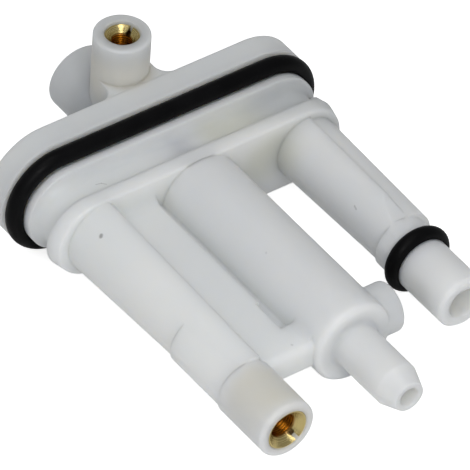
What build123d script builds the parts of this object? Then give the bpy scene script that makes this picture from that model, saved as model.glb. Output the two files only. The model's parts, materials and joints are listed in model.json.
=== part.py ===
# Three-way diverter valve of a combination boiler's water block, in millimetres.
#
# A moulded body carries everything: an oval flange with a seal ring in a groove behind it, a valve
# tube with an inlet nozzle, an outlet duct with its own seal ring, and a fixing post with a brass
# insert. A cartridge slides in from the back of the valve tube: a cage, a spindle with a poppet, a
# gland, a snap ring, a return spring and a push button that an actuator presses.
#
# Frame: the origin is on the valve axis, in the middle plane of the oval seal ring. The nozzle, the
# spout and the fixing post point along -Y, the actuator socket opens along +Y, the flange is long
# along X, and the top boss points along +Z.
import os
from math import cos, radians, sin, sqrt

from build123d import *

# ---- driving dimensions: the moulded body ------------------------------------------------------
flange_half = 19.3          # centre to centre of one flange end's arc
flange_r = 9.75
flange_back_y = 5.98
flange_edge_r = 0.3
oval_x = 0.5                # the flange, its seal ring and the neck stand this far right of the axis

ring_cord = 2.9             # cord diameter of the oval seal ring
ring_centre_r = 8.14        # end radius of the ring's centre line
ring_half = 19.64
groove_slack = 0.1          # each groove is this much wider than its cord, on each side
seal_nip = 0.05             # gap kept between a drawn, unsqueezed ring and the walls round it

land_r = 7.5
land_thick = 1.6
neck_r = 5.6
neck_half = 20.0
neck_cove_r = 1.7           # hollow rounding from the land down to the neck
plate_x = 0.3
plate_half = 19.86
plate_back_half = 20.5      # the plate is longer at its back, so its two ends lean inwards
plate_r = 6.86
plate_back_y = -8.41
plate_thick = 2.62
plate_edge_r = 0.35

tube_r = 7.1
tube_end_y = -51.85
tube_edge_r = 0.9
nozzle_r = 3.83
nozzle_taper_y = -62.6
nozzle_tip_y = -66.0
nozzle_tip_r = 2.6
nozzle_bore_r = 1.65
nozzle_root_r = 0.8

stub_y = -47.7
stub_r = 4.19
stub_end_x = 9.7
stub_bore_r = 2.6
stub_mouth_r = 3.1
stub_mouth_deep = 2.6
stub_edge_r = 0.5

duct_x = 20.8
duct_root_r = 5.2
duct_end_r = 4.65
duct_end_y = -36.8
duct_bore_r = 2.7
duct_crown_root_r = 5.9     # the half-round crown on the duct's inner side, up to its crest line
duct_crown_end_r = 5.35
duct_crown_slope_y = -31.5  # the crest slopes down from here to the collar
duct_crown_slope = 0.9
collar_r = 4.75
spout_x = 19.6
spout_r = 4.58
spout_end_y = -53.5
spout_edge = 0.5
spout_ring_y = -41.4
spout_ring_cord = 2.6
spout_ring_centre_r = 4.65

post_x = -18.3              # centre of the round side of the post
post_flat_x = -17.35        # its flat side, towards the valve tube
post_root_r = 6.5
post_end_r = 5.2
boss_x = -19.9              # the collar and the boss on the end of the post
collar_y = -37.8
post_collar_r = 4.7
boss_back_y = -50.7
boss_end_y = -62.1
boss_r = 5.0
boss_edge_r = 0.7

web_half = 2.5              # half thickness of the web between the post and the valve tube
web_front_y = -50.9
web_edge_r = 1.2
web_gap_x = -8.6            # right edge of the web's thick part, before the slot beside the tube
web_step = 0.55
web_step_y = -38.6
slot_end_y = -45.05
skin_half = 0.9             # half thickness of the skin that closes the slot
web_foot_r = 1.8            # hollow rounding where the web meets the front plate
web_root_r = 2.0            # hollow rounding where the web runs into the tube in front of the slot

socket_r = 5.8              # outside of the actuator socket, behind the flange
socket_end_y = 21.83
socket_edge_r = 0.5
top_boss_y = 11.06
top_boss_r = 4.6
top_boss_z = 16.57
top_boss_edge_r = 0.35
saddle_sunk = 0.25          # the block between the top boss and the flange is this much below its edge
saddle_cove_r = 2.5         # hollow rounding where that block meets the flange's back

# ---- driving dimensions: bores and the cartridge -----------------------------------------------
chamber_r = 4.6
end_wall = 1.5              # wall between the chamber and the front face of the valve tube
seat_lip_r = 2.45
seat_lip_high = 0.6
gland_bore_r = 4.8
gland_seat_y = -1.5
mouth_r = 5.05
mouth_deep = 3.3

cross_r = 2.2               # the cross channel from the chamber to the outlet duct
plug_bore_r = 2.4
plug_long = 2.4
plug_head_thick = 1.3
plug_head_gap = 0.05        # between the plug's head and the land and plate beside it

slide_fit = 0.05            # radial gap where one piece slides or is pushed into another
face_gap = 0.02             # gap kept between flat faces that meet

cage_wall = 1.3
cage_throat_r = 2.4
cage_throat_long = 7.5
cage_seal_back = 3.8        # the cage's seal stands this far behind its front face
cage_seal_cord = 1.2
window_r = 2.0
guide_ribs = 3
guide_rib_wide = 0.9
guide_long = 4.0

spindle_r = 1.5
spindle_nose_r = 0.95
spindle_nose_past = 0.8     # the nose goes on this far past its clip
spindle_tail_r = 1.2
spindle_tail_past = 0.8
spindle_tip_chamfer = 0.25

poppet_r = 3.6
poppet_hub_r = 1.9
poppet_rib_r = 2.7
poppet_rib_thick = 0.8
poppet_thick = 2.2
poppet_edge_r = 0.35
seat_to_seat = 5.2          # from the nozzle's seat to the cage's seat, with the poppet between

clip_thick = 0.4
nose_clip_r = 1.5
nose_clip_groove_r = 0.65
tail_clip_r = 2.1
tail_clip_groove_r = 0.85

gland_long = 5.5
gland_seal_cord = 1.25
gland_seal_inset = 1.55     # each of the gland's two seals lies this far in from one end
spindle_seal_cord = 1.2

snap_thick = 0.8
snap_wide = 1.2
snap_bite = 0.35            # the snap ring stands this far into the socket's wall
snap_gap_deg = 50.0
snap_ear_r = 0.7
snap_ear_hole_r = 0.35

spring_wire = 0.7
spring_gap = 1.4            # from the spring to the socket's bore, room for the snap ring
spring_turns = 6.5
washer_thick = 0.4
washer_bore_gap = 0.3
washer_rim = 0.1            # the washer is this much wider than the spring

button_gap = 0.3            # radial gap between the button and the socket's bore
button_sunk = 4.8           # the button's face lies this far inside the socket's mouth
button_face_thick = 2.4
button_hub_gap = 0.5        # radial gap between the button's hub and the spring
button_hub_long = 1.8

# ---- driving dimensions: the brass inserts -----------------------------------------------------
post_insert_r = 3.6
post_insert_long = 9.5
post_insert_thread_r = 2.1
post_insert_recess = 0.16
top_insert_r = 2.87
top_insert_long = 7.6
top_insert_thread_r = 1.65
top_insert_recess = 0.5
insert_fit = 0.03
insert_sink_extra = 0.75    # countersink radius beyond the thread
insert_slot_wide = 0.9
insert_slot_deep = 1.0
insert_waist_deep = 0.35
insert_relief = 2.6         # the blind hole goes on this far below an insert
insert_relief_narrow = 0.9

# ---- values that follow ------------------------------------------------------------------------
ring_groove_half = ring_cord / 2 + groove_slack
saddle_z = flange_r - saddle_sunk
groove_floor_r = ring_centre_r - ring_cord / 2 - seal_nip
land_front_y = -ring_groove_half - land_thick
plate_front_y = plate_back_y - plate_thick
cage_out_r = chamber_r - slide_fit
cage_in_r = cage_out_r - cage_wall
cage_back_y = gland_seat_y - 2 * face_gap
chamber_end_y = tube_end_y + end_wall
seat_y = chamber_end_y + seat_lip_high
cage_front_y = seat_y + seat_to_seat
cage_seal_y = cage_front_y + cage_seal_back
guide_y = (cage_front_y + cage_back_y + guide_long) / 2
poppet_back_y = cage_front_y - face_gap
poppet_front_y = poppet_back_y - poppet_thick
travel = poppet_front_y - seat_y - face_gap
nose_clip_y = poppet_front_y - clip_thick / 2 - face_gap
spindle_nose_y = nose_clip_y - clip_thick / 2 - spindle_nose_past
gland_front_y = gland_seat_y + face_gap
gland_back_y = gland_seat_y + gland_long
gland_seal_y = gland_front_y + gland_seal_inset
spindle_seal_y = gland_back_y - gland_seal_inset
snap_y = gland_back_y + face_gap
snap_out_r = gland_bore_r + snap_bite
snap_in_r = snap_out_r - snap_wide
snap_ear_centre_r = snap_out_r - snap_ear_r - insert_fit
spring_centre_r = gland_bore_r - spring_gap - spring_wire / 2
button_hub_r = spring_centre_r - spring_wire / 2 - button_hub_gap
washer_r = spring_centre_r + spring_wire / 2 + washer_rim
spring_low_y = gland_back_y + washer_thick
button_r = gland_bore_r - button_gap
button_back_y = socket_end_y - button_sunk
button_front_y = button_back_y - button_face_thick
tail_clip_y = button_back_y + clip_thick / 2 + face_gap
spindle_tail_y = tail_clip_y + clip_thick / 2 + spindle_tail_past
cross_y = (land_front_y + plate_back_y) / 2
plug_x = oval_x + neck_half + neck_r
plug_head_r = (land_front_y - plate_back_y) / 2 - plug_head_gap


# ---- helpers -----------------------------------------------------------------------------------
def along_y(solid, x, y, z=0.0):
    """Turn a solid built up +Z from the origin so that it runs towards -Y from (x, y, z)."""
    return Pos(x, y, z) * Rot(90, 0, 0) * solid


def round_bar(radius, y_from, y_to, x=0.0, z=0.0):
    """A cylinder along Y; y_from is the back end, y_to the front end."""
    low = (Align.CENTER, Align.CENTER, Align.MIN)
    return along_y(Cylinder(radius, y_from - y_to, align=low), x, y_from, z)


def taper_bar(radius_from, radius_to, y_from, y_to, x=0.0, z=0.0):
    """A cone along Y, radius_from at its back end and radius_to at its front end."""
    low = (Align.CENTER, Align.CENTER, Align.MIN)
    return along_y(Cone(radius_from, radius_to, y_from - y_to, align=low), x, y_from, z)


def oval_bar(half, radius, y_from, y_to, x):
    """A block with an oval outline in XZ: two half rounds of one radius, each half away from x."""
    outline = SlotCenterToCenter(2 * half, 2 * radius)
    return along_y(extrude(outline, amount=y_from - y_to), x, y_from)


def block(x_low, x_high, y_low, y_high, z_low, z_high):
    """A box between two corners."""
    box = Box(x_high - x_low, y_high - y_low, z_high - z_low, align=(Align.MIN, Align.MIN, Align.MIN))
    return Pos(x_low, y_low, z_low) * box


def cross_bar(radius, x_from, x_to, y, z=0.0):
    """A cylinder along X."""
    low = (Align.CENTER, Align.CENTER, Align.MIN)
    return Pos(x_from, y, z) * Rot(0, 90, 0) * Cylinder(radius, x_to - x_from, align=low)


def seal_ring(centre_r, cord, x, y):
    """An O-ring round an axis along Y."""
    return Pos(x, y, 0) * Rot(90, 0, 0) * Torus(centre_r, cord / 2)


def edges_at_y(solid, y, low_r, high_r, x=0.0):
    """Circular edges that lie in the plane at y, round the axis at x, within a range of radii."""
    found = []
    for edge in solid.edges().filter_by(GeomType.CIRCLE):
        centre = edge.arc_center
        near = abs(centre.Y - y) < 0.01 and abs(centre.X - x) < 0.01
        if near and low_r <= edge.radius <= high_r:
            found.append(edge)
    return found


def ring_groove(shaft_r, floor_r, y, half_wide, x=0.0):
    """The tool that cuts a groove round a shaft along Y."""
    return round_bar(shaft_r + 1, y + half_wide, y - half_wide, x) - round_bar(
        floor_r, y + half_wide, y - half_wide, x)


# ---- the moulded body --------------------------------------------------------------------------
def make_oval_stack():
    """Flange, ring groove floor, retaining land, neck and front plate, one behind the other."""
    flange = oval_bar(flange_half, flange_r, flange_back_y, ring_groove_half, oval_x)
    flange = fillet(flange.faces().sort_by(Axis.Y)[-1].edges(), flange_edge_r)
    floor = oval_bar(ring_half, groove_floor_r, ring_groove_half, -ring_groove_half, oval_x)
    land = oval_bar(ring_half, land_r, -ring_groove_half, land_front_y, oval_x)
    neck = oval_bar(neck_half, neck_r, land_front_y, plate_back_y, oval_x)
    plate_back = SlotCenterToCenter(2 * plate_back_half, 2 * plate_r)
    plate_front = Pos(0, 0, plate_thick) * SlotCenterToCenter(2 * plate_half, 2 * plate_r)
    plate = along_y(loft([plate_back, plate_front]), plate_x, plate_back_y)
    plate = fillet(plate.faces().sort_by(Axis.Y)[0].edges(), plate_edge_r)
    spine = land + neck
    inner_edges = []
    for edge in spine.edges().filter_by_position(Axis.Y, land_front_y, land_front_y):
        if edge.bounding_box().max.Z < (land_r + neck_r) / 2:
            inner_edges.append(edge)
    spine = fillet(inner_edges, neck_cove_r)
    return flange + floor + spine + plate


def make_valve_tube():
    """The central tube with its inlet nozzle and the side port's stub."""
    tube = round_bar(tube_r, plate_front_y, tube_end_y)
    tube = fillet(edges_at_y(tube, tube_end_y, tube_r - 1, tube_r + 1), tube_edge_r)
    nozzle = round_bar(nozzle_r, tube_end_y + 1, nozzle_taper_y)
    nozzle += taper_bar(nozzle_r, nozzle_tip_r, nozzle_taper_y, nozzle_tip_y)
    tube = tube + nozzle
    tube = fillet(edges_at_y(tube, tube_end_y, nozzle_r - 0.1, nozzle_r + 0.1), nozzle_root_r)
    stub = cross_bar(stub_r, 0, stub_end_x, stub_y)
    stub = fillet(stub.faces().sort_by(Axis.X)[-1].edges(), stub_edge_r)
    return tube + stub


def make_outlet_duct():
    """The right arm: a tapered duct with a raised crown, a collar and the grooved spout."""
    duct = taper_bar(duct_root_r, duct_end_r, plate_front_y, duct_end_y, duct_x)
    crown = taper_bar(duct_crown_root_r, duct_crown_end_r, plate_front_y, duct_end_y, duct_x)
    crown = crown & block(duct_x - 9, duct_x, duct_end_y, plate_front_y, -9, 9)
    share = (plate_front_y - duct_crown_slope_y) / (plate_front_y - duct_end_y)
    crest_z = duct_crown_root_r + share * (duct_crown_end_r - duct_crown_root_r)
    run = duct_crown_slope_y - duct_end_y
    wedge = Polyline((duct_crown_slope_y + run, crest_z + duct_crown_slope),
                     (duct_end_y - run, crest_z - 2 * duct_crown_slope),
                     (duct_end_y - run, crest_z + duct_crown_slope), close=True)
    wedge = Pos(duct_x - 9, 0, 0) * extrude(Plane.YZ * make_face(wedge), amount=10)
    crown -= wedge
    spout = round_bar(collar_r, duct_end_y, spout_ring_y, spout_x)
    spout += round_bar(spout_r, spout_ring_y, spout_end_y, spout_x)
    spout = chamfer(edges_at_y(spout, spout_end_y, spout_r - 1, spout_r + 1, spout_x), spout_edge)
    groove_half = spout_ring_cord / 2 + groove_slack
    floor_r = spout_ring_centre_r - spout_ring_cord / 2 - seal_nip
    spout -= ring_groove(spout_r, floor_r, spout_ring_y, groove_half, spout_x)
    return duct + crown + spout


def make_post():
    """The left arm: a half-round post, its collar, and the boss that holds the brass insert."""
    post = taper_bar(post_root_r, post_end_r, plate_front_y, boss_back_y, post_x)
    post = post & block(post_x - 9, post_flat_x, boss_back_y, plate_front_y, -9, 9)
    collar = round_bar(post_collar_r, collar_y, boss_back_y, boss_x)
    boss = round_bar(boss_r, boss_back_y, boss_end_y, boss_x)
    boss = fillet(edges_at_y(boss, boss_end_y, boss_r - 1, boss_r + 1, boss_x), boss_edge_r)
    return post + collar + boss


def make_web():
    """The web that ties the post to the valve tube, with a slot beside the tube closed by a skin."""
    inner_x = post_flat_x - 1
    web = block(inner_x, 0, web_front_y, plate_front_y, -web_half, web_half)
    web = fillet(web.faces().sort_by(Axis.Y)[0].edges().filter_by(Axis.X), web_edge_r)
    for side in (-1, 1):
        low = min(side * skin_half, side * (web_half + 1))
        high = max(side * skin_half, side * (web_half + 1))
        web -= block(web_gap_x, 0, web_step_y, plate_front_y, low, high)
        web -= block(web_gap_x - web_step, 0, slot_end_y, web_step_y, low, high)
    foot = block(inner_x, web_gap_x, plate_front_y - web_foot_r, plate_front_y, -web_half - web_foot_r,
                 web_half + web_foot_r)
    for side in (-1, 1):
        foot -= cross_bar(web_foot_r, inner_x - 1, web_gap_x + 1, plate_front_y - web_foot_r,
                          side * (web_half + web_foot_r))
    return web + foot + make_web_root()


def make_web_root():
    """The hollow rounding that leads the web's two faces into the tube, in front of the slot."""
    reach = tube_r + web_root_r
    centre_z = web_half + web_root_r
    centre_x = -sqrt(reach ** 2 - centre_z ** 2)
    high_z = centre_z * tube_r / reach
    front_y = web_front_y + web_edge_r
    root = block(centre_x, 0, front_y, slot_end_y, -high_z, high_z)
    for side in (-1, 1):
        root -= round_bar(web_root_r, slot_end_y + 1, front_y - 1, centre_x, side * centre_z)
    return root


def make_socket():
    """The actuator socket behind the flange, with the top boss and the block under it."""
    socket = round_bar(socket_r, socket_end_y, ring_groove_half)
    socket = fillet(edges_at_y(socket, socket_end_y, socket_r - 1, socket_r + 1), socket_edge_r)
    low = (Align.CENTER, Align.CENTER, Align.MIN)
    boss = Pos(0, top_boss_y, 0) * Cylinder(top_boss_r, top_boss_z, align=low)
    boss = fillet(boss.faces().sort_by(Axis.Z)[-1].edges(), top_boss_edge_r)
    saddle = block(-top_boss_r, top_boss_r, ring_groove_half, top_boss_y, 0, saddle_z)
    cove_x = top_boss_r + saddle_cove_r
    cove_y = flange_back_y + saddle_cove_r
    cove = block(-cove_x, cove_x, ring_groove_half, cove_y, 0, saddle_z)
    for side in (-1, 1):
        cove -= Pos(side * cove_x, cove_y, 0) * Cylinder(saddle_cove_r, 3 * saddle_z)
    return socket + boss + saddle + cove


def body_bores():
    """Everything that is hollow in the body, as one list of tools."""
    tools = [
        round_bar(chamber_r, gland_seat_y + 1, seat_y),
        round_bar(chamber_r, seat_y, chamber_end_y) - round_bar(seat_lip_r, seat_y, chamber_end_y),
        round_bar(nozzle_bore_r, seat_y + 1, nozzle_tip_y - 1),
        round_bar(gland_bore_r, socket_end_y + 1, gland_seat_y),
        round_bar(mouth_r, socket_end_y + 1, socket_end_y - mouth_deep),
        round_bar(snap_out_r + slide_fit, snap_y + snap_thick + face_gap, snap_y - face_gap),
        cross_bar(stub_bore_r, seat_lip_r + 0.5, stub_end_x + 1, stub_y),
        cross_bar(stub_mouth_r, stub_end_x - stub_mouth_deep, stub_end_x + 1, stub_y),
        cross_bar(cross_r, 0, plug_x, cross_y),
        cross_bar(plug_bore_r, plug_x - plug_long, plug_x + 3, cross_y),
        cross_bar(plug_head_r + plug_head_gap, plug_x, plug_x + plug_head_thick + 1, cross_y),
        round_bar(duct_bore_r, cross_y + cross_r / 2, spout_end_y - 1, spout_x),
    ]
    insert_y = boss_end_y + post_insert_recess + post_insert_long
    tools.append(round_bar(post_insert_r + insert_fit, insert_y + face_gap, boss_end_y - 1, boss_x))
    tools.append(round_bar(post_insert_r - insert_relief_narrow, insert_y + insert_relief,
                           boss_end_y - 1, boss_x))
    low = (Align.CENTER, Align.CENTER, Align.MIN)
    insert_z = top_boss_z - top_insert_recess - top_insert_long
    hole = Cylinder(top_insert_r + insert_fit, top_insert_long + top_insert_recess + 1, align=low)
    tools.append(Pos(0, top_boss_y, insert_z - face_gap) * hole)
    relief_deep = 1.0
    relief = Cylinder(top_insert_r - insert_relief_narrow, top_insert_long, align=low)
    tools.append(Pos(0, top_boss_y, insert_z - relief_deep) * relief)
    return tools


def make_body():
    body = make_oval_stack()
    body += make_valve_tube()
    body += make_outlet_duct()
    body += make_post()
    body += make_web()
    body += make_socket()
    for tool in body_bores():
        body -= tool
    return body


def make_cross_plug():
    """The plug welded into the open end of the cross channel, at the right end of the neck."""
    stem = cross_bar(plug_bore_r - insert_fit, plug_x - plug_long + face_gap, plug_x, cross_y)
    head = cross_bar(plug_head_r, plug_x, plug_x + plug_head_thick, cross_y)
    head = chamfer(head.faces().sort_by(Axis.X)[-1].edges(), plug_head_thick / 3)
    return stem + head


# ---- seals -------------------------------------------------------------------------------------
def make_oval_ring():
    """The oval seal ring: two straight cords joined by two half rings."""
    ring = None
    for side in (-1, 1):
        half_ring = Pos(side * ring_half, 0, 0) * Rot(90, 0, 0) * Torus(ring_centre_r, ring_cord / 2)
        far = ring_half + 2 * flange_r
        keep = block(min(side * ring_half, side * far), max(side * ring_half, side * far), -9, 9, -20, 20)
        half_ring = half_ring & keep
        straight = cross_bar(ring_cord / 2, -ring_half, ring_half, 0, side * ring_centre_r)
        ring = half_ring + straight if ring is None else ring + half_ring + straight
    return Pos(oval_x, 0, 0) * ring


# ---- brass inserts -----------------------------------------------------------------------------
def make_insert(radius, long, thread_r):
    """A knurled threaded insert, face up at the origin, with a countersink and a driver slot."""
    high = (Align.CENTER, Align.CENTER, Align.MAX)
    insert = Cylinder(radius, long, align=high)
    waist = Cylinder(radius + 1, long / 4, align=high) - Cylinder(radius - insert_waist_deep, long / 4, align=high)
    insert -= Pos(0, 0, -long * 3 / 8) * waist
    insert -= Cylinder(thread_r, 2 * long)
    sink_r = thread_r + insert_sink_extra
    insert -= Cone(thread_r, sink_r, insert_sink_extra, align=high)
    slot = Box(2 * radius + 1, insert_slot_wide, insert_slot_deep, align=high)
    return insert - slot


# ---- the cartridge -----------------------------------------------------------------------------
def make_cage():
    """The cage tube: windows at the back for the outlet, a narrow throat at the front as a seat."""
    cage = round_bar(cage_out_r, cage_back_y, cage_front_y)
    throat_back_y = cage_front_y + cage_throat_long
    cage -= round_bar(cage_in_r, cage_back_y + 1, throat_back_y)
    cage -= round_bar(cage_throat_r, throat_back_y + 1, cage_front_y - 1)
    for step in range(guide_ribs):
        rib = block(spindle_r + slide_fit, cage_in_r + cage_wall / 2, guide_y - guide_long, guide_y,
                    -guide_rib_wide / 2, guide_rib_wide / 2)
        cage += Rot(0, 90 + step * 360 / guide_ribs, 0) * rib
    cage -= round_bar(spindle_r + slide_fit, guide_y + 1, guide_y - guide_long - 1)
    cage -= cross_bar(window_r, -cage_out_r - 1, cage_out_r + 1, cross_y)
    upright = Cylinder(window_r, 2 * cage_out_r + 2)
    cage -= Pos(0, cross_y, 0) * upright
    floor_r = chamber_r - cage_seal_cord - 2 * seal_nip / 2
    return cage - ring_groove(cage_out_r, floor_r, cage_seal_y, cage_seal_cord / 2 + groove_slack)


def make_spindle():
    """The spindle, stepped down at the poppet and at the button, with a clip groove at each end."""
    spindle = round_bar(spindle_r, button_front_y - button_hub_long, poppet_back_y)
    spindle += round_bar(spindle_nose_r, poppet_back_y, spindle_nose_y)
    spindle += round_bar(spindle_tail_r, spindle_tail_y, button_front_y - button_hub_long)
    spindle = chamfer(edges_at_y(spindle, spindle_nose_y, 0.1, 2), spindle_tip_chamfer)
    spindle = chamfer(edges_at_y(spindle, spindle_tail_y, 0.1, 2), spindle_tip_chamfer)
    half = clip_thick / 2 + face_gap
    spindle -= ring_groove(spindle_nose_r, nose_clip_groove_r, nose_clip_y, half)
    return spindle - ring_groove(spindle_tail_r, tail_clip_groove_r, tail_clip_y, half)


def make_clip(outer_r, bore_r, y):
    """An E-clip: a flat ring open downwards, with three inner teeth on the groove."""
    ring = round_bar(outer_r, y + clip_thick / 2, y - clip_thick / 2)
    inner_r = bore_r + (outer_r - bore_r) * 0.45
    ring -= round_bar(inner_r, y + 1, y - 1)
    for angle in (0, 90, 180):
        tooth = block(bore_r, inner_r + 0.1, y - clip_thick / 2, y + clip_thick / 2, -bore_r / 2, bore_r / 2)
        ring += Rot(0, -angle, 0) * tooth
    ring -= block(-bore_r, bore_r, y - 1, y + 1, -outer_r - 1, 0)
    return ring


def make_poppet_core():
    """The hub that carries the poppet's rubber, with a rib that anchors it."""
    core = round_bar(poppet_hub_r, poppet_back_y, poppet_front_y)
    middle_y = (poppet_back_y + poppet_front_y) / 2
    core += round_bar(poppet_rib_r, middle_y + poppet_rib_thick / 2, middle_y - poppet_rib_thick / 2)
    return core - round_bar(spindle_nose_r + face_gap, poppet_back_y + 1, poppet_front_y - 1)


def make_poppet_seal():
    """The rubber ring that closes on the cage's throat at one end and on the nozzle's seat at the other."""
    seal = round_bar(poppet_r, poppet_back_y, poppet_front_y)
    rims = edges_at_y(seal, poppet_back_y, poppet_r - 0.1, poppet_r + 0.1)
    rims += edges_at_y(seal, poppet_front_y, poppet_r - 0.1, poppet_r + 0.1)
    seal = fillet(rims, poppet_edge_r)
    seal -= round_bar(poppet_hub_r, poppet_back_y + 1, poppet_front_y - 1)
    middle_y = (poppet_back_y + poppet_front_y) / 2
    return seal - round_bar(poppet_rib_r, middle_y + poppet_rib_thick / 2, middle_y - poppet_rib_thick / 2)


def make_gland():
    """The gland bush, with a groove outside for its own ring and one inside for the spindle's."""
    gland = round_bar(gland_bore_r - slide_fit, gland_back_y, gland_front_y)
    gland -= round_bar(spindle_r + slide_fit, gland_back_y + 1, gland_front_y - 1)
    floor_r = gland_bore_r - gland_seal_cord - seal_nip
    gland -= ring_groove(gland_bore_r, floor_r, gland_seal_y, gland_seal_cord / 2 + groove_slack)
    inner_r = spindle_r + spindle_seal_cord + seal_nip
    half = spindle_seal_cord / 2 + groove_slack
    return gland - round_bar(inner_r, spindle_seal_y + half, spindle_seal_y - half)


def make_snap_ring():
    """The internal snap ring that holds the gland, open at the bottom with two holed ears."""
    ring = round_bar(snap_out_r, snap_y + snap_thick, snap_y)
    ring -= round_bar(snap_in_r, snap_y + snap_thick + 1, snap_y - 1)
    reach = snap_out_r * 2
    half = radians(snap_gap_deg / 2)
    wedge = Polyline((0, 0), (reach * sin(half), -reach * cos(half)), (-reach * sin(half), -reach * cos(half)),
                     close=True)
    wedge = extrude(make_face(wedge), amount=4)
    ring -= Pos(0, snap_y + 2, 0) * Rot(90, 0, 0) * wedge
    ear_angle = half + radians(6)
    for side in (-1, 1):
        ear_x = side * snap_ear_centre_r * sin(ear_angle)
        ear_z = -snap_ear_centre_r * cos(ear_angle)
        ring += round_bar(snap_ear_r, snap_y + snap_thick, snap_y, ear_x, ear_z)
        ring -= round_bar(snap_ear_hole_r, snap_y + snap_thick + 1, snap_y - 1, ear_x, ear_z)
    return ring


def make_spring_washer():
    """The flat washer that the return spring stands on."""
    washer = round_bar(washer_r, spring_low_y, gland_back_y + face_gap)
    return washer - round_bar(spindle_r + washer_bore_gap, spring_low_y + 1, gland_back_y - 1)


def make_spring():
    """The return spring, one helix with its ends ground flat."""
    low_y = spring_low_y + face_gap
    high_y = button_front_y - face_gap
    pitch = (high_y - low_y) / spring_turns
    path = Helix(pitch=pitch, height=high_y - low_y, radius=spring_centre_r)
    start = Plane(origin=path @ 0, z_dir=path % 0)
    coil = sweep(start * Circle(spring_wire / 2), path=path)
    coil = Pos(0, high_y, 0) * Rot(90, 0, 0) * coil
    keep = round_bar(spring_centre_r + spring_wire, high_y, low_y)
    return coil & keep


def make_button():
    """The push button on the spindle's tail, a disc with a hub inside the spring."""
    button = round_bar(button_r, button_back_y, button_front_y)
    button = fillet(edges_at_y(button, button_back_y, button_r - 0.1, button_r + 0.1), 0.5)
    button += round_bar(button_hub_r, button_front_y, button_front_y - button_hub_long)
    button -= round_bar(spindle_tail_r + face_gap, button_back_y + 1, button_front_y - button_hub_long - 1)
    return button


# ---- write every node --------------------------------------------------------------------------
def build_nodes():
    cage_seal_r = chamber_r - cage_seal_cord / 2 - seal_nip / 2
    gland_seal_r = gland_bore_r - gland_seal_cord / 2 - seal_nip / 2
    spindle_seal_r = spindle_r + spindle_seal_cord / 2 + seal_nip / 2
    post_insert = make_insert(post_insert_r, post_insert_long, post_insert_thread_r)
    top_insert = make_insert(top_insert_r, top_insert_long, top_insert_thread_r)
    nodes = {
        "valve_body": make_body(),
        "cross_channel_plug": make_cross_plug(),
        "oval_seal_ring": make_oval_ring(),
        "spout_seal_ring": seal_ring(spout_ring_centre_r, spout_ring_cord, spout_x, spout_ring_y),
        "post_insert": along_y(post_insert, boss_x, boss_end_y + post_insert_recess),
        "top_insert": Pos(0, top_boss_y, top_boss_z - top_insert_recess) * top_insert,
        "valve_cage": make_cage(),
        "cage_seal_ring": seal_ring(cage_seal_r, cage_seal_cord, 0, cage_seal_y),
        "spindle": make_spindle(),
        "poppet_core": make_poppet_core(),
        "poppet_seal": make_poppet_seal(),
        "poppet_clip": make_clip(nose_clip_r, nose_clip_groove_r, nose_clip_y),
        "gland_bush": make_gland(),
        "gland_seal_ring": seal_ring(gland_seal_r, gland_seal_cord, 0, gland_seal_y),
        "spindle_seal_ring": seal_ring(spindle_seal_r, spindle_seal_cord, 0, spindle_seal_y),
        "snap_ring": make_snap_ring(),
        "spring_washer": make_spring_washer(),
        "return_spring": make_spring(),
        "push_button": make_button(),
        "button_clip": make_clip(tail_clip_r, tail_clip_groove_r, tail_clip_y),
    }
    return nodes


os.makedirs("parts", exist_ok=True)
nodes = build_nodes()
for name, solid in nodes.items():
    export_step(solid, f"parts/{name}.step")
print(f"{len(nodes)} nodes, poppet travel {travel:.2f} mm")
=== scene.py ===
# %% [markdown]
# # A three-way diverter valve, moulded in natural plastic
#
# The real object is one white moulding with two black seal rings, two brass inserts and a small
# spring-returned spindle inside. Its measured model is loaded as a fixed frame, so every solid is
# already at its true size and place, in metres. This lesson gives those solids their finishes,
# rebuilds the two inserts with their threads and knurls, and sets up the light and the camera.
#
# Origin: on the valve axis, in the middle plane of the oval seal ring. The nozzle, the spout and the
# post point along -Y, the actuator socket opens along +Y, and the top boss points along +Z.

# %% Load the frame
import json
import math

import bmesh
import bpy
from mathutils import Matrix, Vector


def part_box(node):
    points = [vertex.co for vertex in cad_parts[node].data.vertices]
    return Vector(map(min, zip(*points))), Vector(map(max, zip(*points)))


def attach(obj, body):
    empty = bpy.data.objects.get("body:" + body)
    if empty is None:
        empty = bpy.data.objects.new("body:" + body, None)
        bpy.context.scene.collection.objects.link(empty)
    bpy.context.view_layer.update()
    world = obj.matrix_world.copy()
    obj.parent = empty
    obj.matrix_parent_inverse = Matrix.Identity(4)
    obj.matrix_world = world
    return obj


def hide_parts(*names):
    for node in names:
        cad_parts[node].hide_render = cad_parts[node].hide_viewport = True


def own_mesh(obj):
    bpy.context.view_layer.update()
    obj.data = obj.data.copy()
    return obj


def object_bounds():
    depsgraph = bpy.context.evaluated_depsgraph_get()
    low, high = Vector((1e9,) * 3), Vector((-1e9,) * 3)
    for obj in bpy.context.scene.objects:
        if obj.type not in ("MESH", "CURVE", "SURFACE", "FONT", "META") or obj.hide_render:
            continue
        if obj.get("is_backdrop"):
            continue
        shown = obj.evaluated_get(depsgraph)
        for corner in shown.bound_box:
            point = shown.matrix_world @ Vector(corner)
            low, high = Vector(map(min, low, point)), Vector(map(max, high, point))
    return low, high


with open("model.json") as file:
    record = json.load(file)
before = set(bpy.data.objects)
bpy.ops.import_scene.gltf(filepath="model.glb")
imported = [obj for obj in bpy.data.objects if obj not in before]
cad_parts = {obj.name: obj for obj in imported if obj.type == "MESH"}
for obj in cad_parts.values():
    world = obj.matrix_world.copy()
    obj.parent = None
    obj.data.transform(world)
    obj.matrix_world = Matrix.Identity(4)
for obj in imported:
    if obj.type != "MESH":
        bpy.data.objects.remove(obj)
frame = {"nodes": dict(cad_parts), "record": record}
cad_low, cad_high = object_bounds()
MM = 0.001
print("size in mm:", [round((b - a) / MM, 2) for a, b in zip(cad_low, cad_high)])

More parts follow.
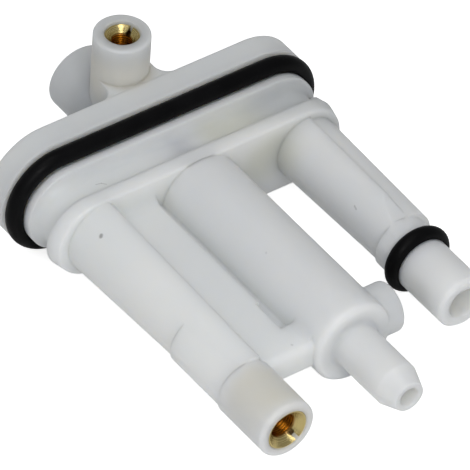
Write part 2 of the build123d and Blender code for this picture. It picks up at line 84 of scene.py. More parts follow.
# %% [markdown]
# ## Where the features are
#
# An insert's box gives its axis, its face and its radius.

# %% Read places from the frame
def middle(node):
    low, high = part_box(node)
    return (Vector(low) + Vector(high)) / 2


def half_size(node):
    low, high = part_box(node)
    return (Vector(high) - Vector(low)) / 2


post_axis = middle("post_insert")
post_half = half_size("post_insert")
top_axis = middle("top_insert")
top_half = half_size("top_insert")
print("insert radius mm: post", round(post_half.x / MM, 2), "top", round(top_half.x / MM, 2))

# %% [markdown]
# ## Helpers for node trees
#
# Every finish below is a node tree. Writing a tree by hand needs the same three steps many times:
# add a node, set its values, and link it. Small helpers keep those steps short: one for any node, and
# one each for a sum, a soft ramp and a mix of two colours. Two more make a node group with named
# inputs and outputs and place it, so that an effect is built once and used in several materials.

# %% Node helpers
def add(tree, kind, values=None, **settings):
    """One node. values sets its input sockets, by name or by number; settings sets its properties."""
    node = tree.nodes.new(kind)
    for key, value in settings.items():
        setattr(node, key, value)
    for key, value in (values or {}).items():
        if isinstance(value, bpy.types.NodeSocket):
            tree.links.new(value, node.inputs[key])
        else:
            node.inputs[key].default_value = value
    return node


def calc(tree, operation, a, b=0.5, clamp=False):
    """A Math node's output."""
    node = add(tree, "ShaderNodeMath", {0: a, 1: b}, operation=operation)
    node.use_clamp = clamp
    return node.outputs[0]


def fade(tree, value, start, end, low=0.0, high=1.0):
    """value mapped smoothly from start..end to low..high."""
    node = add(tree, "ShaderNodeMapRange", {"Value": value, "From Min": start, "From Max": end,
                                            "To Min": low, "To Max": high},
               interpolation_type="SMOOTHSTEP")
    return node.outputs["Result"]


def blend_colour(tree, factor, a, b, kind="MIX"):
    """Two colours mixed by factor."""
    node = tree.nodes.new("ShaderNodeMix")
    node.data_type = "RGBA"
    node.blend_type = kind
    for name, value in (("Factor_Float", factor), ("A_Color", a), ("B_Color", b)):
        socket = next(s for s in node.inputs if s.identifier == name)
        if isinstance(value, bpy.types.NodeSocket):
            tree.links.new(value, socket)
        else:
            socket.default_value = value
    return next(s for s in node.outputs if s.identifier == "Result_Color")


KINDS = {"value": "NodeSocketFloat", "vector": "NodeSocketVector", "colour": "NodeSocketColor"}


def new_group(name, inputs, outputs):
    """An empty node group; inputs are (name, kind, default), outputs are (name, kind)."""
    tree = bpy.data.node_groups.new(name, "ShaderNodeTree")
    for label, kind, default in inputs:
        socket = tree.interface.new_socket(name=label, in_out="INPUT", socket_type=KINDS[kind])
        socket.default_value = default
    for label, kind in outputs:
        tree.interface.new_socket(name=label, in_out="OUTPUT", socket_type=KINDS[kind])
    return tree, tree.nodes.new("NodeGroupInput").outputs, tree.nodes.new("NodeGroupOutput").inputs


def place_group(tree, group, values):
    """A group placed in a tree; its outputs are returned."""
    node = tree.nodes.new("ShaderNodeGroup")
    node.node_tree = group
    for key, value in values.items():
        if isinstance(value, bpy.types.NodeSocket):
            tree.links.new(value, node.inputs[key])
        else:
            node.inputs[key].default_value = value
    return node.outputs


def new_material(name, colour, roughness, metallic=0.0):
    """A material with a Principled shader; returns material, tree, shader and object coordinates."""
    material = bpy.data.materials.new(name)
    material.use_nodes = True
    material.diffuse_color = (*colour, 1)
    tree = material.node_tree
    shader = next(n for n in tree.nodes if n.type == "BSDF_PRINCIPLED")
    shader.inputs["Base Color"].default_value = (*colour, 1)
    shader.inputs["Roughness"].default_value = roughness
    shader.inputs["Metallic"].default_value = metallic
    point = tree.nodes.new("ShaderNodeTexCoord").outputs["Object"]
    return material, tree, shader, point


print("helpers ready")

# %% [markdown]
# ## Effect: near a line
#
# Several marks follow a straight stretch inside or on the moulding: a painted warm glow where brass
# shows through the wall round an insert, painted shade along a corner, a scratch that runs for a few
# millimetres. One group serves them all. It measures how far a point is from a line between two ends,
# and fades from 1 at Full to 0 at Gone. The nearest place on the line comes from a dot product, kept
# between the ends.

# %% Group: near a line
near_line, given, result = new_group(
    "near_line",
    [("Point", "vector", (0, 0, 0)), ("From", "vector", (0, 0, 0)), ("To", "vector", (0, 0, 1)),
     ("Full", "value", 0.001), ("Gone", "value", 0.002)],
    [("Mask", "value")])
along = add(near_line, "ShaderNodeVectorMath", {0: given["To"], 1: given["From"]}, operation="SUBTRACT")
to_point = add(near_line, "ShaderNodeVectorMath", {0: given["Point"], 1: given["From"]}, operation="SUBTRACT")
reach = add(near_line, "ShaderNodeVectorMath", {0: to_point.outputs[0], 1: along.outputs[0]},
            operation="DOT_PRODUCT")
whole = add(near_line, "ShaderNodeVectorMath", {0: along.outputs[0], 1: along.outputs[0]},
            operation="DOT_PRODUCT")
share = calc(near_line, "DIVIDE", reach.outputs["Value"], whole.outputs["Value"], clamp=True)
step = add(near_line, "ShaderNodeVectorMath", {0: along.outputs[0]}, operation="SCALE")
near_line.links.new(share, step.inputs["Scale"])
away = add(near_line, "ShaderNodeVectorMath", {0: to_point.outputs[0], 1: step.outputs[0]},
           operation="DISTANCE")
near_line.links.new(fade(near_line, away.outputs["Value"], given["Full"], given["Gone"], 1.0, 0.0),
                    result["Mask"])
print("near_line has", len(near_line.nodes), "nodes")

# %% [markdown]
# ## Effect: moulded skin
#
# A moulding is never quite even. The melt cools in broad soft patches, the tool leaves a fine grain,
# and handling leaves faint rubbed spots. Three noises of different scale give these. The group puts
# out a Patch value for colour, a Rub value for roughness, and a Grain height for a bump.

# %% Group: moulded skin
moulded_skin, given, result = new_group(
    "moulded_skin",
    [("Point", "vector", (0, 0, 0)), ("Patch Scale", "value", 60.0), ("Grain Scale", "value", 2600.0)],
    [("Patch", "value"), ("Rub", "value"), ("Grain", "value")])
patches = add(moulded_skin, "ShaderNodeTexNoise",
              {"Vector": given["Point"], "Scale": given["Patch Scale"], "Detail": 2.0, "Roughness": 0.45})
rub_scale = calc(moulded_skin, "MULTIPLY", given["Patch Scale"], 7.0)
rubs = add(moulded_skin, "ShaderNodeTexNoise",
           {"Vector": given["Point"], "Scale": rub_scale, "Detail": 4.0, "Roughness": 0.6})
grain = add(moulded_skin, "ShaderNodeTexNoise",
            {"Vector": given["Point"], "Scale": given["Grain Scale"], "Detail": 3.0, "Roughness": 0.55})
moulded_skin.links.new(patches.outputs[0], result["Patch"])
moulded_skin.links.new(rubs.outputs[0], result["Rub"])
moulded_skin.links.new(grain.outputs[0], result["Grain"])
print("moulded_skin has", len(moulded_skin.nodes), "nodes")

# %% [markdown]
# ## Effect: turning marks
#
# Brass and steel pieces are turned on a lathe, and the tool leaves fine rings round the axis. The
# distance from the axis drives a wave on faces, and the place along the axis drives one on round
# walls. Adding both before the wave gives rings on cones and chamfers as well.

# %% Group: turning marks
turning_marks, given, result = new_group(
    "turning_marks",
    [("Point", "vector", (0, 0, 0)), ("Centre", "vector", (0, 0, 0)), ("Axis", "vector", (0, 0, 1)),
     ("Spacing", "value", 0.00012)],
    [("Height", "value"), ("Streak", "value")])
local = add(turning_marks, "ShaderNodeVectorMath", {0: given["Point"], 1: given["Centre"]},
            operation="SUBTRACT")
lift = add(turning_marks, "ShaderNodeVectorMath", {0: local.outputs[0], 1: given["Axis"]},
           operation="DOT_PRODUCT")
flat = add(turning_marks, "ShaderNodeVectorMath", {0: local.outputs[0], 1: given["Axis"]},
           operation="CROSS_PRODUCT")
radius = add(turning_marks, "ShaderNodeVectorMath", {0: flat.outputs[0]}, operation="LENGTH")
travel = calc(turning_marks, "ADD", lift.outputs["Value"], radius.outputs["Value"])
turns = calc(turning_marks, "DIVIDE", travel, given["Spacing"])
wobble = add(turning_marks, "ShaderNodeTexNoise", {"W": turns, "Scale": 0.7, "Detail": 2.0},
             noise_dimensions="1D")
height = calc(turning_marks, "SINE", calc(turning_marks, "MULTIPLY", turns, 2 * math.pi))
turning_marks.links.new(calc(turning_marks, "MULTIPLY", height, wobble.outputs[0]), result["Height"])
turning_marks.links.new(wobble.outputs[0], result["Streak"])
print("turning_marks has", len(turning_marks.nodes), "nodes")

# %% [markdown]
# ## Finish: natural plastic
#
# The body is unpigmented plastic: milky, faintly see-through, cool white on open walls. Light enters
# the wall and leaves a few millimetres further on, so corners glow instead of going black. Subsurface
# scattering does that. Painted shade turns the white olive in deep recesses. Round an insert a painted
# warm glow stands for the brass showing through, and painted shade greys thin walls round a hollow. All
# three are put in by place with near_line. Painted shade from Ambient Occlusion tints deep corners.
#
# The rounded edges of a moulding are too small to model one by one. A Bevel node rounds the shading
# normal over half a millimetre, and the bump for grain, parting line and scratches sits on it.

# %% Natural plastic: colour
MILK = (0.80, 0.815, 0.815)
body_plastic, tree, shader, point = new_material("natural_plastic", MILK, 0.38)
skin = place_group(tree, moulded_skin, {"Point": point, "Patch Scale": 55.0, "Grain Scale": 2400.0})
patchy = fade(tree, skin["Patch"], 0.35, 0.7)
colour = blend_colour(tree, patchy, (0.790, 0.808, 0.812, 1), (0.825, 0.828, 0.815, 1))

# Painted shade: deep corners, found by Ambient Occlusion, are tinted towards olive grey.
hollow = add(tree, "ShaderNodeAmbientOcclusion", {"Distance": 9 * MM}, samples=4, only_local=True)
corner_shade = fade(tree, hollow.outputs["AO"], 0.25, 0.85, 1.0, 0.0)
colour = blend_colour(tree, calc(tree, "MULTIPLY", corner_shade, 0.22), colour, (0.66, 0.67, 0.60, 1))

# Places of painted light and shade, in millimetres: (one end of the line, its other end, full to here,
# gone from there, tint, strength). The warm tint is a painted glow where brass shows through, the olive
# tint is painted shade in deep recesses, and the grey tint is painted shade on thin walls round a hollow.
face_y = (post_axis.y - post_half.y)
top_z = (top_axis.z + top_half.z)
WARM_GLOW = (0.80, 0.70, 0.50, 1)
OLIVE_SHADE = (0.52, 0.52, 0.36, 1)
GREY_SHADE = (0.50, 0.52, 0.53, 1)
boss_x, boss_y = post_axis.x / MM, face_y / MM
cap_y, cap_z = top_axis.y / MM, top_z / MM
tinted = [
    ((boss_x, boss_y + 3.5, 1.0), (boss_x, boss_y + 7.0, 1.0), 2.8, 6.8, WARM_GLOW, 0.85),
    ((0, cap_y, cap_z - 4.0), (0, cap_y, cap_z - 9.0), 2.8, 6.6, WARM_GLOW, 1.0),
    ((6.0, -5.8, 5.4), (13.0, -5.8, 5.4), 0.2, 5.5, OLIVE_SHADE, 0.38),
    ((12.2, -11.0, 0.5), (14.5, -12.0, 2.0), 0.5, 6.5, OLIVE_SHADE, 0.36),
    ((0, 9.0, 0), (0, 22.0, 0), 6.0, 11.0, GREY_SHADE, 0.60),
    ((8.0, -47.7, 0), (10.5, -47.7, 0), 3.6, 6.5, GREY_SHADE, 0.36),
    ((21.0, -4.0, 0), (28.0, -6.0, 0), 6.0, 12.5, GREY_SHADE, 0.75),
    ((0, cap_y, cap_z), (0, cap_y, cap_z - 1.0), 3.6, 6.2, GREY_SHADE, 0.60),
    ((0, boss_y - 4.0, 0), (0, boss_y - 2.0, 0), 2.0, 4.6, GREY_SHADE, 0.16),
]
uneven = fade(tree, skin["Patch"], 0.35, 0.6, 0.7, 1.0)
for start, end, full, gone, tint, strength in tinted:
    mask = place_group(tree, near_line, {"Point": point, "From": Vector(start) * MM, "To": Vector(end) * MM,
                                         "Full": full * MM, "Gone": gone * MM})
    amount = calc(tree, "MULTIPLY", calc(tree, "MULTIPLY", mask["Mask"], strength), uneven)
    colour = blend_colour(tree, amount, colour, tint)

# Painted shade: everything behind the ring is hollow and thin, and is made a little greyer than the tubes in
# front.
place = add(tree, "ShaderNodeSeparateXYZ", {0: point})
back_shade = fade(tree, place.outputs["Y"], 0.5 * MM, 2.5 * MM, 0.0, 0.30)
colour = blend_colour(tree, back_shade, colour, GREY_SHADE)
print("natural plastic:", len(tinted), "tinted places")

# %% [markdown]
# ### Small marks on the moulding
#
# A used moulding carries specks and light scratches. Each is a short line a few hundredths to a few
# tenths of a millimetre wide. Scratches also go into the bump, as shallow grooves.

# %% Natural plastic: specks, scratches, parting line
marks = [
    ((-22.0, -15.5, 5.1), (-22.1, -15.6, 5.0), 0.14, 0.46, 0.60),
    ((-16.3, -5.9, 5.6), (-15.4, -6.1, 5.6), 0.03, 0.15, 0.30),
    ((-15.4, -6.1, 5.6), (-14.9, -6.7, 5.6), 0.03, 0.15, 0.30),
    ((16.2, -29.8, 3.0), (16.3, -29.2, 3.2), 0.05, 0.22, 0.35),
    ((-10.0, -49.0, 2.5), (-9.9, -49.1, 2.5), 0.06, 0.22, 0.30),
    ((-3.6, -33.2, 6.1), (-3.5, -33.1, 6.1), 0.05, 0.25, 0.18),
]
scratch = None
for start, end, full, gone, strength in marks:
    mask = place_group(tree, near_line, {"Point": point, "From": Vector(start) * MM, "To": Vector(end) * MM,
                                         "Full": full * MM, "Gone": gone * MM})
    colour = blend_colour(tree, calc(tree, "MULTIPLY", mask["Mask"], strength), colour, (0.16, 0.16, 0.16, 1))
    scratch = mask["Mask"] if scratch is None else calc(tree, "MAXIMUM", scratch, mask["Mask"])
tree.links.new(colour, shader.inputs["Base Color"])

from_middle = calc(tree, "ABSOLUTE", place.outputs["Z"])
parting = fade(tree, from_middle, 0.03 * MM, 0.12 * MM, 1.0, 0.0)
rounded = add(tree, "ShaderNodeBevel", {"Radius": 0.55 * MM}, samples=4)
height = calc(tree, "MULTIPLY", skin["Grain"], 0.10)
height = calc(tree, "ADD", height, calc(tree, "MULTIPLY", parting, 0.9))
height = calc(tree, "SUBTRACT", height, calc(tree, "MULTIPLY", scratch, 0.8))
bump = add(tree, "ShaderNodeBump", {"Height": height, "Strength": 0.35, "Distance": 0.06 * MM,
                                    "Normal": rounded.outputs[0]})
tree.links.new(bump.outputs[0], shader.inputs["Normal"])
tree.links.new(fade(tree, skin["Rub"], 0.3, 0.75, 0.34, 0.46), shader.inputs["Roughness"])
shader.inputs["Subsurface Weight"].default_value = 1.0
shader.inputs["Subsurface Radius"].default_value = (1.0, 0.95, 0.85)
shader.inputs["Subsurface Scale"].default_value = 6.0 * MM
shader.inputs["IOR"].default_value = 1.46
print("natural plastic:", len(marks), "marks,", len(tree.nodes), "nodes")

# %% [markdown]
# ## Finish: seal rubber
#
# Seal rings are black nitrile rubber, pressed in a two-part mould. They are nearly black, a little
# glossy where greased, and carry specks of white dust from the plastic; the fine flash line round the
# outside is not drawn. A low sheen of fine grain keeps the highlight soft and broken.

# %% Seal rubber
seal_rubber, tree, shader, point = new_material("seal_rubber", (0.003, 0.003, 0.0033), 0.42)
skin = place_group(tree, moulded_skin, {"Point": point, "Patch Scale": 110.0, "Grain Scale": 3800.0})
patchy = fade(tree, skin["Patch"], 0.35, 0.7)
colour = blend_colour(tree, patchy, (0.0015, 0.0015, 0.0018, 1), (0.004, 0.004, 0.0045, 1))
dust = fade(tree, skin["Grain"], 0.70, 0.78)
colour = blend_colour(tree, calc(tree, "MULTIPLY", dust, 0.10), colour, (0.25, 0.25, 0.25, 1))
tree.links.new(colour, shader.inputs["Base Color"])
tree.links.new(fade(tree, skin["Rub"], 0.3, 0.75, 0.34, 0.52), shader.inputs["Roughness"])
bump = add(tree, "ShaderNodeBump", {"Height": skin["Grain"], "Strength": 0.25, "Distance": 0.04 * MM})
tree.links.new(bump.outputs[0], shader.inputs["Normal"])
shader.inputs["Specular IOR Level"].default_value = 0.07
print("seal rubber:", len(tree.nodes), "nodes")

# %% [markdown]
# ## Finish: turned brass
#
# The inserts are free-cutting brass, bright on the cut faces. Down the thread, where light doesn't reach,
# painted shade takes the colour from pale gold to orange brown with depth below the face, which is the
# distance along the insert's own axis.

# %% Turned brass
def make_brass(name, centre, axis, face, deep, slot_way, reach):
    """Brass for an insert; face is the place of its face along its axis, deep where its painted shade is
    darkest.
    slot_way points along the driver slot, which has painted shade between its walls, out to reach."""
    material, tree, shader, point = new_material(name, (0.83, 0.62, 0.27), 0.24, metallic=1.0)
    lathe = place_group(tree, turning_marks,
                        {"Point": point, "Centre": centre, "Axis": axis, "Spacing": 0.11 * MM})
    depth = add(tree, "ShaderNodeVectorMath", {0: point, 1: axis}, operation="DOT_PRODUCT").outputs["Value"]
    # Painted shade: the colour turns orange brown with depth below the face.
    bore_shade = fade(tree, depth, face - 0.8 * MM, face - deep, 0.0, 1.0)
    colour = blend_colour(tree, lathe["Streak"], (0.40, 0.31, 0.11, 1), (0.72, 0.59, 0.28, 1))
    colour = blend_colour(tree, bore_shade, colour, (0.28, 0.095, 0.006, 1))
    floor = Vector(axis) * (face - 1.0 * MM)
    floor += Vector(centre) - Vector(axis) * Vector(centre).dot(Vector(axis))
    in_slot = place_group(tree, near_line,
                          {"Point": point, "From": floor - slot_way * reach,
                           "To": floor + slot_way * reach, "Full": 0.45 * MM, "Gone": 0.62 * MM})
    # Painted shade in the driver slot, between its walls.
    shade = calc(tree, "MULTIPLY", in_slot["Mask"], 0.85)
    colour = blend_colour(tree, shade, colour, (0.05, 0.025, 0.005, 1))
    tree.links.new(colour, shader.inputs["Base Color"])
    tree.links.new(fade(tree, lathe["Streak"], 0.3, 0.7, 0.16, 0.28), shader.inputs["Roughness"])
    bump = add(tree, "ShaderNodeBump", {"Height": lathe["Height"], "Strength": 0.22, "Distance": 0.03 * MM})
    tree.links.new(bump.outputs[0], shader.inputs["Normal"])
    return material


post_turn, top_turn = math.radians(-53), math.radians(20)
post_way = Vector((math.cos(post_turn), 0, math.sin(post_turn)))
top_way = Vector((math.cos(top_turn), math.sin(top_turn), 0))
post_brass = make_brass("turned_brass_post", tuple(post_axis), (0, -1, 0), -face_y, 1.7 * MM,
                        post_way, post_half.x)
top_brass = make_brass("turned_brass_top", tuple(top_axis), (0, 0, 1), top_z, 1.4 * MM,
                       top_way, top_half.x)
print("brass:", post_brass.name, top_brass.name)

# %% [markdown]
# ## Finish: cartridge plastic, button plastic and steel
#
# The pieces inside the valve tube are glass-filled plastic and stainless steel. They show only at the
# mouth of the actuator socket and through the bores. The plastics use the moulded skin with their own
# colours. The steels use turning marks about the valve axis.

# %% Cartridge and button plastic
def make_plastic(name, dark, light, roughness):
    material, tree, shader, point = new_material(name, light, roughness)
    skin = place_group(tree, moulded_skin, {"Point": point, "Patch Scale": 120.0, "Grain Scale": 3000.0})
    colour = blend_colour(tree, fade(tree, skin["Rub"], 0.35, 0.7), (*dark, 1), (*light, 1))
    tree.links.new(colour, shader.inputs["Base Color"])
    tree.links.new(fade(tree, skin["Patch"], 0.3, 0.75, roughness - 0.05, roughness + 0.08),
                   shader.inputs["Roughness"])
    rounded = add(tree, "ShaderNodeBevel", {"Radius": 0.15 * MM}, samples=4)
    bump = add(tree, "ShaderNodeBump", {"Height": skin["Grain"], "Strength": 0.3, "Distance": 0.04 * MM,
                                        "Normal": rounded.outputs[0]})
    tree.links.new(bump.outputs[0], shader.inputs["Normal"])
    return material


cartridge_plastic = make_plastic("cartridge_plastic", (0.62, 0.60, 0.53), (0.72, 0.70, 0.64), 0.45)
button_plastic = make_plastic("button_plastic", (0.045, 0.045, 0.05), (0.075, 0.075, 0.08), 0.40)


# %% Steel
def make_steel(name, dark, light, roughness, spacing):
    material, tree, shader, point = new_material(name, light, roughness, metallic=1.0)
    lathe = place_group(tree, turning_marks,
                        {"Point": point, "Centre": (0, 0, 0), "Axis": (0, 1, 0), "Spacing": spacing})
    colour = blend_colour(tree, lathe["Streak"], (*dark, 1), (*light, 1))
    tree.links.new(colour, shader.inputs["Base Color"])
    tree.links.new(fade(tree, lathe["Streak"], 0.3, 0.7, roughness - 0.07, roughness + 0.09),
                   shader.inputs["Roughness"])
    bump = add(tree, "ShaderNodeBump", {"Height": lathe["Height"], "Strength": 0.15, "Distance": 0.02 * MM})
    tree.links.new(bump.outputs[0], shader.inputs["Normal"])
    return material


spindle_steel = make_steel("ground_steel", (0.58, 0.58, 0.58), (0.72, 0.72, 0.71), 0.28, 0.09 * MM)
spring_steel = make_steel("drawn_wire", (0.50, 0.50, 0.51), (0.64, 0.64, 0.64), 0.34, 0.25 * MM)
print("steels:", spindle_steel.name, spring_steel.name)

# %% [markdown]
# ## Put the finishes on the frame's pieces
#
# Each solid names its material slot in the record. A finish goes into the material slots of the
# solid's mesh, so the shape stays as it was measured. The inserts have one finish each, since their
# colour depends on the depth below their own face.

# %% Assign finishes
finishes = {
    "body_plastic": body_plastic,
    "seal_rubber": seal_rubber,
    "cartridge_plastic": cartridge_plastic,
    "button_plastic": button_plastic,
    "spindle_steel": spindle_steel,
    "spring_steel": spring_steel,
}
insert_finishes = {"post_insert": post_brass, "top_insert": top_brass}
for part in frame["record"]["subparts"]:
    piece = frame["nodes"][part["node"]]
    finish = insert_finishes.get(part["node"], finishes.get(part["material_slot"]))
    for slot in piece.material_slots:
        slot.material = finish

# %% [markdown]
# ## The brass inserts
#
# A threaded insert is turned from bar: two knurled bands with a waist between them to grip the
# plastic, a thread down the middle, a countersink at the mouth and a slot for the driver that sets
# it. A lathe shape alone would lose the thread and the knurl. So the surface is made as a grid of
# points that follows one profile from the outside, over the face and down the bore. Each ring of
# points is shaped by its angle: the knurl cuts crossed grooves into the bands, and the thread is a
# groove that moves one pitch for each turn. The driver slot is then cut with a boolean.

# %% Insert profile
def insert_profile(radius, long, bore, pitch):
    """(radius, height below the face, kind) from the outer edge of the far end to that of the bore."""
    rim = 0.12 * MM            # small chamfer on the outer edges
    face_step = 0.08 * MM      # the plain collar at the face is this much inside the knurl
    collar_long = 0.85 * MM
    waist_deep = 0.35 * MM     # the groove between the two knurled bands
    waist_half = 0.125         # half its length, as a share of the insert
    sink = 0.76 * (radius - bore)
    rows = [(bore + 0.3 * MM, -long, "plain"), (radius - rim, -long, "plain")]
    steps = 22
    waist_low, waist_high = -(0.5 + waist_half) * long, -(0.5 - waist_half) * long
    for band_low, band_high in ((-long + rim, waist_low), (waist_high, -collar_long - 0.05 * MM)):
        for i in range(steps + 1):
            rows.append((radius, band_low + (band_high - band_low) * i / steps, "knurl"))
        rows.append((radius - waist_deep, band_high, "plain"))
        if band_high < -0.5 * long:
            rows.append((radius - waist_deep, waist_high, "plain"))
    rows.append((radius - face_step, -collar_long, "plain"))
    rows.append((radius - face_step, -rim, "plain"))
    rows.append((radius - face_step - rim, 0.0, "plain"))
    rows.append((bore + sink + 0.04 * MM, 0.0, "plain"))
    rows.append((bore + sink, -0.03 * MM, "plain"))
    rows.append((bore + 0.02 * MM, -sink, "plain"))
    steps = int((long - sink) / (pitch / 8))
    for i in range(1, steps + 1):
        rows.append((bore, -sink - (long - sink) * i / steps, "thread"))
    return rows


# %% Insert mesh
def make_turned_insert(name, node, body, radius, long, bore, pitch, place):
    """A knurled and threaded insert whose face lies at the origin of place, facing +Z."""
    around = 144               # points in one turn
    ridges = 18                # grooves of each hand round a band
    knurl_lead = 0.35 * MM
    slot_wide = 0.6 * MM
    slot_deep = 1.3 * MM
    mesh = bpy.data.meshes.new(name)
    shape = bmesh.new()
    rings = []
    for r, z, kind in insert_profile(radius, long, bore, pitch):
        ring = []
        for i in range(around):
            angle = 2 * math.pi * i / around
            here = r
            if kind == "knurl":
                left = abs(math.sin(ridges * angle + z / knurl_lead))
                right = abs(math.sin(ridges * angle - z / knurl_lead))
                here = r - 0.16 * MM * (1 - min(left, right)) ** 2
            if kind == "thread":
                turn = (z / pitch + angle / (2 * math.pi)) % 1.0
                here = r + 0.32 * pitch * max(0.0, 1 - abs(turn - 0.5) / 0.4)
            ring.append(shape.verts.new((here * math.cos(angle), here * math.sin(angle), z)))
        rings.append(ring)
    rings.append(rings[0])
    for low, high in zip(rings, rings[1:]):
        for i in range(around):
            j = (i + 1) % around
            shape.faces.new((low[i], low[j], high[j], high[i]))
    bmesh.ops.recalc_face_normals(shape, faces=shape.faces)
    shape.to_mesh(mesh)
    shape.free()
    piece = bpy.data.objects.new(name, mesh)
    bpy.context.collection.objects.link(piece)

    cutter_mesh = bpy.data.meshes.new(name + "_slot")
    shape = bmesh.new()
    cutter_size = (2.6 * radius, slot_wide, 2 * slot_deep, 1)
    bmesh.ops.create_cube(shape, size=1.0, matrix=Matrix.Diagonal(cutter_size))
    shape.to_mesh(cutter_mesh)
    shape.free()
    cutter = bpy.data.objects.new(name + "_slot", cutter_mesh)
    bpy.context.collection.objects.link(cutter)
    cut = piece.modifiers.new("slot", "BOOLEAN")
    cut.object = cutter
    cut.operation = "DIFFERENCE"
    cut.solver = "EXACT"
    graph = bpy.context.evaluated_depsgraph_get()
    finished = bpy.data.meshes.new_from_object(piece.evaluated_get(graph))
    piece.modifiers.clear()
    piece.data = finished
    bpy.data.objects.remove(cutter)
    piece.data.transform(place)
    piece.data.update()
    piece.data.shade_smooth()
    piece.data.set_sharp_from_angle(angle=math.radians(32))
    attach(piece, body)
    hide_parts(node)
    return piece


# %% Make both inserts
post_place = (Matrix.Translation((post_axis.x, face_y, post_axis.z)) @ Matrix.Rotation(math.pi / 2, 4, "X")
              @ Matrix.Rotation(post_turn, 4, "Z"))
post_piece = make_turned_insert("post_insert_turned", "post_insert", "housing", post_half.x,
                                2 * post_half.y, 2.1 * MM, 0.5 * MM, post_place)
post_piece.data.materials.clear()
post_piece.data.materials.append(post_brass)
top_place = Matrix.Translation((top_axis.x, top_axis.y, top_z)) @ Matrix.Rotation(top_turn, 4, "Z")
top_piece = make_turned_insert("top_insert_turned", "top_insert", "housing", top_half.x,
                               2 * top_half.z, 1.65 * MM, 0.45 * MM, top_place)
top_piece.data.materials.clear()
top_piece.data.materials.append(top_brass)
print("insert faces:", len(post_piece.data.polygons), len(top_piece.data.polygons))

# %% [markdown]
# ## The return spring
#
# When the button is pushed in, the spring gets shorter: its inner end stays on the washer and its outer
# end moves with the button. A rigid copy would be pushed through the bush. Here a copy of the measured
# coil is made and stays with the housing; it keeps its measured length as the spindle slides.

# %% A copy of the return spring
measured = frame["nodes"]["return_spring"]
coil_mesh = measured.data.copy()
coil_mesh.transform(measured.matrix_world)
coil = bpy.data.objects.new("return_spring_coil", coil_mesh)
bpy.context.collection.objects.link(coil)
coil_mesh.materials.clear()
coil_mesh.materials.append(spring_steel)
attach(coil, "housing")
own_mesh(coil)
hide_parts("return_spring")

# %% [markdown]
# ## What it lies on
#
# The valve lies on a pale table on the lowest points of its seal ring and of its tube, so it tilts
# by about three degrees. The table's slope is found as a builder would find it: look along the flange
# at all points, take the lower edge of their outline, and keep the stretch of it that the weight is
# over. The table is then the plane under that stretch.

# %% The resting plane
outline = set()
for piece in frame["nodes"].values():
    for vertex in piece.data.vertices:
        outline.add((round(vertex.co.y, 5), round(vertex.co.z, 5)))
lower = []
for y, z in sorted(outline):
    while len(lower) > 1:
        (y0, z0), (y1, z1) = lower[-2], lower[-1]
        if (y1 - y0) * (z - z0) - (z1 - z0) * (y - y0) > 0:
            break
        lower.pop()
    lower.append((y, z))
weight_y = (cad_low.y + cad_high.y) / 2
front, back = next((a, b) for a, b in zip(lower, lower[1:]) if a[0] <= weight_y <= b[0])
slope = (back[1] - front[1]) / (back[0] - front[0])
tilt = math.atan(slope)
print("rests at y mm", round(front[0] / MM, 1), "and", round(back[0] / MM, 1),
      "tilt degrees", round(math.degrees(tilt), 2))

# %% Table top
table_mesh = bpy.data.meshes.new("table_top")
table_half = 1.6
shape = bmesh.new()
bmesh.ops.create_grid(shape, x_segments=8, y_segments=8, size=table_half)
shape.to_mesh(table_mesh)
shape.free()
table = bpy.data.objects.new("table_top", table_mesh)
bpy.context.collection.objects.link(table)
table.rotation_euler = (tilt, 0, 0)
table.location = (0, front[0], front[1] - 0.02 * MM)
table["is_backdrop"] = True
table_white, tree, shader, point = new_material("table_white", (0.93, 0.93, 0.93), 0.7)
shader.inputs["Specular IOR Level"].default_value = 0.1
seen = add(tree, "ShaderNodeLightPath")
glow = add(tree, "ShaderNodeEmission", {"Color": (1, 1, 1, 1), "Strength": 0.75})
both = add(tree, "ShaderNodeAddShader", {0: shader.outputs[0], 1: glow.outputs[0]})
pick = add(tree, "ShaderNodeMixShader", {0: seen.outputs["Is Camera Ray"], 1: shader.outputs[0],
                                         2: both.outputs[0]})
output = next(n for n in tree.nodes if n.type == "OUTPUT_MATERIAL")
tree.links.new(pick.outputs[0], output.inputs["Surface"])
table_mesh.materials.append(table_white)
print("table at z mm", round(table.location.z / MM, 2))

# %% [markdown]
# ## Light
#
# A white object on a white table needs light from all round, or its shaded side goes grey. A pale
# world gives the even part. A small soft lamp stands near the front left corner, so the ends of the
# tubes are brighter than the flange behind them, and a larger one high above evens out the crests.
# The world is slightly blue, which keeps the shaded sides cool.

# %% World and lamps
world = bpy.data.worlds.new("studio")
bpy.context.scene.world = world
world.use_nodes = True
backdrop = world.node_tree.nodes["Background"]
backdrop.inputs["Color"].default_value = (0.96, 0.98, 1.0, 1)
backdrop.inputs["Strength"].default_value = 0.37
bpy.context.scene.view_settings.view_transform = "Standard"


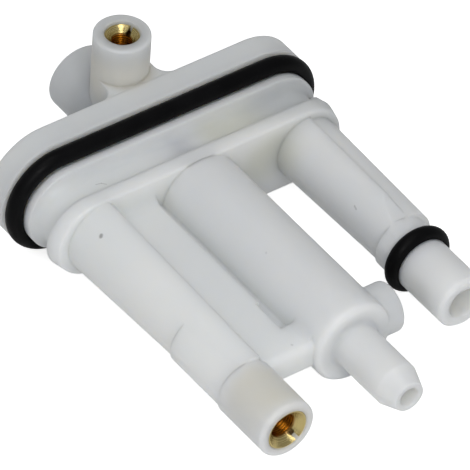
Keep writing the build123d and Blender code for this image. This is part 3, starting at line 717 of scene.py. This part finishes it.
def make_lamp(name, place, size, power, colour, aim):
    lamp = bpy.data.lights.new(name, "AREA")
    lamp.shape = "DISK"
    lamp.size = size
    lamp.energy = power
    lamp.color = colour
    holder = bpy.data.objects.new(name, lamp)
    bpy.context.collection.objects.link(holder)
    holder.location = place
    holder.rotation_euler = (Vector(aim) - Vector(place)).to_track_quat("-Z", "Y").to_euler()
    return holder


target = Vector((2.12, -17.96, -4.58)) * MM
make_lamp("near_lamp", (-0.12, -0.24, 0.20), 0.16, 0.36, (1.0, 0.99, 0.985), target)
make_lamp("high_lamp", (-0.05, -0.05, 0.45), 0.30, 0.38, (1.0, 0.995, 0.98), target)

# %% [markdown]
# ## Camera
#
# The valve is seen from its front left, from above, through a long lens, which keeps the tubes
# almost parallel. The camera is set by its direction, its distance and a small roll about the line of
# sight. Its three axes are written as the columns of its matrix.

# %% Camera
azimuth, elevation, roll = math.radians(-38.313), math.radians(42.016), math.radians(4.017)
distance = 1.5
back_axis = Vector((math.sin(azimuth) * math.cos(elevation), -math.cos(azimuth) * math.cos(elevation),
                    math.sin(elevation)))
right_axis = Vector((math.cos(azimuth), math.sin(azimuth), 0))
up_axis = back_axis.cross(right_axis)
right_rolled = right_axis * math.cos(roll) + up_axis * math.sin(roll)
up_rolled = up_axis * math.cos(roll) - right_axis * math.sin(roll)
view_wide = 72.87 * MM
camera_data = bpy.data.cameras.new("camera")
camera_data.sensor_width = 36.0
camera_data.lens = 36.0 * distance / view_wide
camera_data.clip_start = 0.05
camera_data.clip_end = 20.0
camera = bpy.data.objects.new("camera", camera_data)
bpy.context.collection.objects.link(camera)
axes = Matrix((right_rolled, up_rolled, back_axis)).transposed().to_4x4()
camera.matrix_world = Matrix.Translation(target + back_axis * distance) @ axes
bpy.context.scene.camera = camera
print("lens mm:", round(camera_data.lens, 1))

# %% [markdown]
# ## Compare sizes and finish
#
# The pieces made here must stay inside the measured model. How far the shown pieces reach past its box,
# below and above, is printed.

# %% Write the sizes
low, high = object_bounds()
grown = [[round(v / MM, 3) for v in side] for side in (cad_low - low, high - cad_high)]
print("grown by mm:", *grown)
